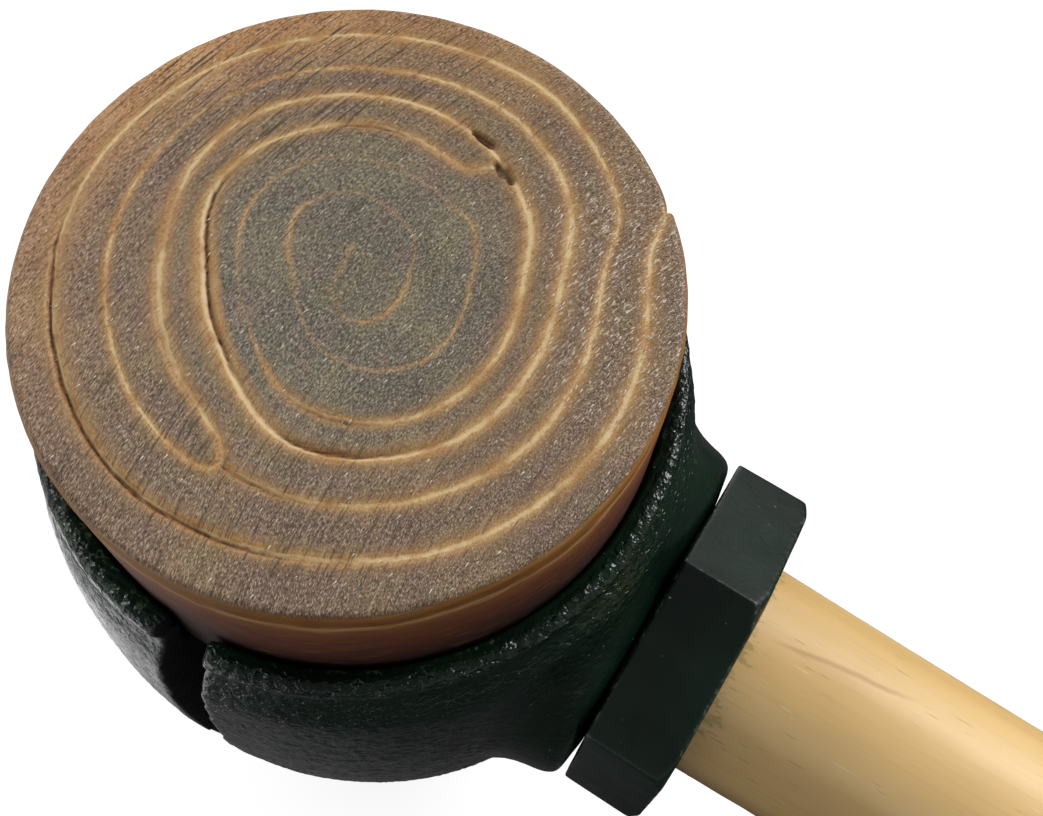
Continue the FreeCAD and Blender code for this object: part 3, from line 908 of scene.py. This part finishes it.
def lower_seams():
    """The seam of the lower roll, which is wound the same way from another strip."""
    seam = []
    for turn_deg in range(0, 6 * 360 + 200, 15):
        angle = math.radians(turn_deg)
        radius = 2.2 + 3.55 * turn_deg / 360
        radius += 0.55 * math.sin(angle + 0.8) + 0.22 * math.sin(3 * angle + turn_deg / 260)
        line = 0.40 + 0.16 * math.sin(turn_deg / 77)
        opened = max(0.0, math.sin(turn_deg / 101 + 1.0)) * 0.8
        if radius > face_radius + 0.2:
            break
        seam.append((turn_deg + 40, radius, line, opened))
    return [seam]


def raised_nap(name, roll, count, length, tilt_deg, material, seed):
    """Fibres torn up by the saw, scattered over a roll's face by geometry nodes."""
    tree = bpy.data.node_groups.new(name, "GeometryNodeTree")
    tree.interface.new_socket("Geometry", in_out="INPUT", socket_type="NodeSocketGeometry")
    count_socket = tree.interface.new_socket("Count", in_out="INPUT", socket_type="NodeSocketInt")
    length_socket = tree.interface.new_socket("Length", in_out="INPUT", socket_type="NodeSocketFloat")
    tree.interface.new_socket("Geometry", in_out="OUTPUT", socket_type="NodeSocketGeometry")
    given = node(tree, "NodeGroupInput")
    rub_and_glint = node(tree, "GeometryNodeInputNamedAttribute", {"Name": "rub_and_glint"}, data_type="FLOAT")
    chance = node(tree, "ShaderNodeMath", {0: rub_and_glint.outputs[0], 1: given.outputs["Count"]},
                  operation="MULTIPLY")
    density = node(tree, "ShaderNodeMath", {0: chance.outputs[0], 1: 6000.0}, operation="MULTIPLY")
    scatter = node(tree, "GeometryNodeDistributePointsOnFaces", {
        "Mesh": given.outputs["Geometry"], "Density": density.outputs[0], "Seed": seed})
    fibre = node(tree, "GeometryNodeMeshCone", {
        "Vertices": 5, "Radius Top": 0.0, "Radius Bottom": 0.055 * MM,
        "Depth": given.outputs["Length"]})
    lay = node(tree, "FunctionNodeRandomValue", data_type="FLOAT_VECTOR")
    lay.inputs["Min"].default_value = (math.radians(86), 0.0, math.radians(tilt_deg - 12))
    lay.inputs["Max"].default_value = (math.radians(94), 0.0, math.radians(tilt_deg + 12))
    lay.inputs["Seed"].default_value = seed + 1
    stretch = node(tree, "FunctionNodeRandomValue", data_type="FLOAT")
    stretch.inputs[2].default_value = 0.35
    stretch.inputs[3].default_value = 1.0
    stretch.inputs["Seed"].default_value = seed + 2
    laid = node(tree, "GeometryNodeInstanceOnPoints", {
        "Points": scatter.outputs["Points"], "Instance": fibre.outputs["Mesh"],
        "Rotation": lay.outputs[0], "Scale": stretch.outputs[1]})
    real = node(tree, "GeometryNodeRealizeInstances", {"Geometry": laid.outputs[0]})
    painted = node(tree, "GeometryNodeSetMaterial", {
        "Geometry": real.outputs[0], "Material": material})
    node(tree, "NodeGroupOutput", {"Geometry": painted.outputs[0]})

    base = bpy.data.objects.new(name + "_base", roll.data)
    bpy.context.scene.collection.objects.link(base)
    modifier = base.modifiers.new("nap", "NODES")
    modifier.node_group = tree
    modifier[count_socket.identifier] = count
    modifier[length_socket.identifier] = length
    bpy.context.view_layer.update()
    evaluated = base.evaluated_get(bpy.context.evaluated_depsgraph_get())
    mesh = bpy.data.meshes.new_from_object(evaluated)
    bpy.data.objects.remove(base)
    if not mesh.polygons:
        raise RuntimeError(name + " has no fibres")
    return link_object(name, mesh, material)


class MALLET_OT_castings(bpy.types.Operator):
    """Cast, grind and paint the two jaws"""
    bl_idname = "mallet.castings"
    bl_label = "Jaws"

    def execute(self, context):
        settings = context.scene.mallet_iron
        paint = enamel_material("enamel_on_cast_iron", 0.22)
        for node_name, body, cell, split_x in (
                ("crown_jaw", "crown", settings.crown_cell, crown_split_x),
                ("throat_jaw", "throat", settings.throat_cell, throat_split_x)):
            jaw = finish_casting("cast_" + node_name, node_name, cell, split_x, paint)
            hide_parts(node_name)
            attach(jaw, body)
        return {"FINISHED"}


class MALLET_OT_nut(bpy.types.Operator):
    """Paint the hexagon nut and rub its corners"""
    bl_idname = "mallet.nut"
    bl_label = "Nut"

    def execute(self, context):
        nut = finish_nut("painted_nut", "clamp_nut", enamel_material("enamel_on_steel", 0.32))
        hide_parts("clamp_nut")
        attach(nut, "nut")
        return {"FINISHED"}


class MALLET_OT_rolls(bpy.types.Operator):
    """Wind the two rolls of rawhide and raise the nap on their faces"""
    bl_idname = "mallet.rolls"
    bl_label = "Rawhide rolls"

    def execute(self, context):
        hide = rawhide_material()
        fibre = nap_material()
        settings = context.scene.mallet_hide
        ends = [
            ("upper", face_high_z, seat_high_z, [core_seam, middle_seam, outer_seam],
             upper_pockets, upper_lap_end_deg, 30.0, 3),
            ("lower", face_low_z, seat_low_z, lower_seams(), [], lower_lap_end_deg, 200.0, 11),
        ]
        for end, face_z, seat_z, seams, pockets, lap_end, worn_deg, seed in ends:
            roll = wound_roll(end + "_wound_roll", face_z, seat_z, seams, pockets, lap_end,
                              worn_deg, hide, seed)
            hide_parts(end + "_rawhide_face")
            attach(roll, end + "_face")
            nap = raised_nap(end + "_nap", roll, settings.nap_count, settings.nap_length,
                             -5.0, fibre, seed)
            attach(nap, end + "_face")
        return {"FINISHED"}


class MALLET_OT_handle(bpy.types.Operator):
    """Finish the hickory handle and its wedges"""
    bl_idname = "mallet.handle"
    bl_label = "Handle and wedges"

    def execute(self, context):
        handle = sanded_handle("sanded_handle", "handle", hickory_material())
        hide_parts("handle")
        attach(handle, "crown")
        finishes = {
            "wooden_wedge": end_grain_material(),
            "steel_wedge": wedge_steel_material(),
        }
        for name, material in finishes.items():
            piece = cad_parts[name]
            piece.data.materials.clear()
            piece.data.materials.append(material)
        return {"FINISHED"}


class MALLET_OT_stage(bpy.types.Operator):
    """Set the white floor, the soft lights and the camera"""
    bl_idname = "mallet.stage"
    bl_label = "Stage"

    def execute(self, context):
        scene = context.scene
        scene.view_settings.view_transform = "Standard"
        settings = scene.mallet_stage
        white_floor(settings.floor_size)
        white_world(scene)
        for light in (
            ("window", (0.42, 0.72, 0.62), 0.45, 8.4),
            ("fill", (-0.80, 0.10, 0.70), 0.5, 4.4),
        ):
            area_light(*light)
        photograph_camera(scene, settings.lens)
        return {"FINISHED"}


def white_floor(size):
    """A matt white floor that the camera sees as paper white, shadows kept."""
    mesh = bpy.data.meshes.new("floor")
    half = size / 2
    mesh.from_pydata([(-half, -half, 0), (half, -half, 0), (half, half, 0), (-half, half, 0)],
                     [], [(0, 1, 2, 3)])
    material = bpy.data.materials.new("matt_white_paper")
    material.use_nodes = True
    tree = material.node_tree
    tree.nodes.clear()
    paper = node(tree, "ShaderNodeBsdfDiffuse", {"Color": linear("#929292")})
    path = node(tree, "ShaderNodeLightPath")
    # In the paint's reflections the paper is bright on the crown's side and dim on the nut's
    spot = node(tree, "ShaderNodeSeparateXYZ", {
        0: node(tree, "ShaderNodeTexCoord").outputs["Object"]})
    mirrored = ramp(tree, spot.outputs["X"], -0.075, -0.045, 1.1, 1.75)
    mirrored = maths(tree, "MULTIPLY", mirrored, ramp(
        tree, spot.outputs["X"], -0.038, -0.006, 1.0, 0.10))
    mirrored = maths(tree, "MULTIPLY", mirrored, ramp(tree, spot.outputs["X"], 0.0, 0.045, 1.0, 0.3))
    glow = maths(tree, "ADD", maths(tree, "MULTIPLY", path.outputs["Is Camera Ray"], 0.86),
                 maths(tree, "MULTIPLY", path.outputs["Is Glossy Ray"], mirrored))
    light = node(tree, "ShaderNodeEmission", {"Color": (1, 1, 1, 1), "Strength": glow})
    # The paper's own shade is cut in reflections, which the glow stands for
    both = node(tree, "ShaderNodeAddShader", {0: paper.outputs[0], 1: light.outputs[0]})
    choice = node(tree, "ShaderNodeMixShader", {
        0: path.outputs["Is Glossy Ray"], 1: both.outputs[0], 2: light.outputs[0]})
    node(tree, "ShaderNodeOutputMaterial", {"Surface": choice.outputs[0]})
    floor = link_object("floor", mesh, material)


def white_world(scene):
    """Studio air: white to the camera and low down in reflections, dim overhead, so that
    the tops of the painted iron stay dark and its sides pick up the pale floor."""
    world = bpy.data.worlds.new("studio")
    scene.world = world
    world.use_nodes = True
    tree = world.node_tree
    tree.nodes.clear()
    path = node(tree, "ShaderNodeLightPath")
    way = node(tree, "ShaderNodeSeparateXYZ", {
        0: node(tree, "ShaderNodeTexCoord").outputs["Generated"]})
    glossy = ramp(tree, way.outputs["Z"], 0.05, 0.60, 0.60, 0.14)
    glossy = maths(tree, "MULTIPLY", glossy, ramp(tree, way.outputs["X"], -0.7, 0.0, 1.9, 1.0))
    glossy_share = maths(tree, "MULTIPLY", path.outputs["Is Glossy Ray"], glossy)
    seen = maths(tree, "ADD", path.outputs["Is Camera Ray"], glossy_share)
    other = maths(tree, "SUBTRACT", 1.0, maths(
        tree, "MAXIMUM", path.outputs["Is Camera Ray"], path.outputs["Is Glossy Ray"]))
    strength = maths(tree, "ADD", seen, maths(tree, "MULTIPLY", other, 0.36))
    air = node(tree, "ShaderNodeBackground", {"Color": (1, 1, 1, 1), "Strength": strength})
    node(tree, "ShaderNodeOutputWorld", {"Surface": air.outputs[0]})


def area_light(name, place, size, power):
    """A square soft light that looks at the middle of the head."""
    light = bpy.data.lights.new(name, "AREA")
    light.size = size
    light.energy = power
    lamp = bpy.data.objects.new(name, light)
    lamp.location = place
    aim = Vector((0, 0, axis_z * MM)) - Vector(place)
    lamp.rotation_euler = aim.to_track_quat("-Z", "Y").to_euler()
    bpy.context.scene.collection.objects.link(lamp)


def photograph_camera(scene, lens):
    """The camera close above the striking face, at the photograph's angle."""
    camera = bpy.data.cameras.new("camera")
    camera.sensor_width = 36.0
    camera.lens = lens
    camera.shift_x = -0.0213
    camera.shift_y = -0.1386
    camera.clip_start = 0.005
    camera.clip_end = 20.0
    holder = bpy.data.objects.new("camera", camera)
    holder.location = Vector((32.10, -33.46, 172.54)) * MM
    holder.rotation_euler = Euler([math.radians(turn) for turn in (26.942, -2.689, 31.312)])
    scene.collection.objects.link(holder)
    scene.camera = holder


class MALLET_PT_panel(bpy.types.Panel):
    """The mallet's pieces, sizes and stage"""
    bl_label = "Rawhide mallet"
    bl_idname = "MALLET_PT_panel"
    bl_space_type = "VIEW_3D"
    bl_region_type = "UI"
    bl_category = "Mallet"

    def draw(self, context):
        for group in (context.scene.mallet_iron, context.scene.mallet_hide,
                      context.scene.mallet_stage):
            for name in group.__annotations__:
                self.layout.prop(group, name)
        for operator in operators:
            self.layout.operator(operator.bl_idname)


operators = (MALLET_OT_castings, MALLET_OT_nut, MALLET_OT_rolls, MALLET_OT_handle,
             MALLET_OT_stage)
classes = (HideSettings, IronSettings, StageSettings, *operators, MALLET_PT_panel)


def register():
    for item in classes:
        bpy.utils.register_class(item)
    bpy.types.Scene.mallet_hide = bpy.props.PointerProperty(type=HideSettings)
    bpy.types.Scene.mallet_iron = bpy.props.PointerProperty(type=IronSettings)
    bpy.types.Scene.mallet_stage = bpy.props.PointerProperty(type=StageSettings)


def unregister():
    del bpy.types.Scene.mallet_stage
    del bpy.types.Scene.mallet_iron
    del bpy.types.Scene.mallet_hide
    for item in reversed(classes):
        bpy.utils.unregister_class(item)


def main():
    noise.seed_set(1)
    register()
    bpy.ops.mallet.castings()
    bpy.ops.mallet.nut()
    bpy.ops.mallet.rolls()
    bpy.ops.mallet.handle()
    bpy.ops.mallet.stage()


if __name__ == "__main__":
    main()
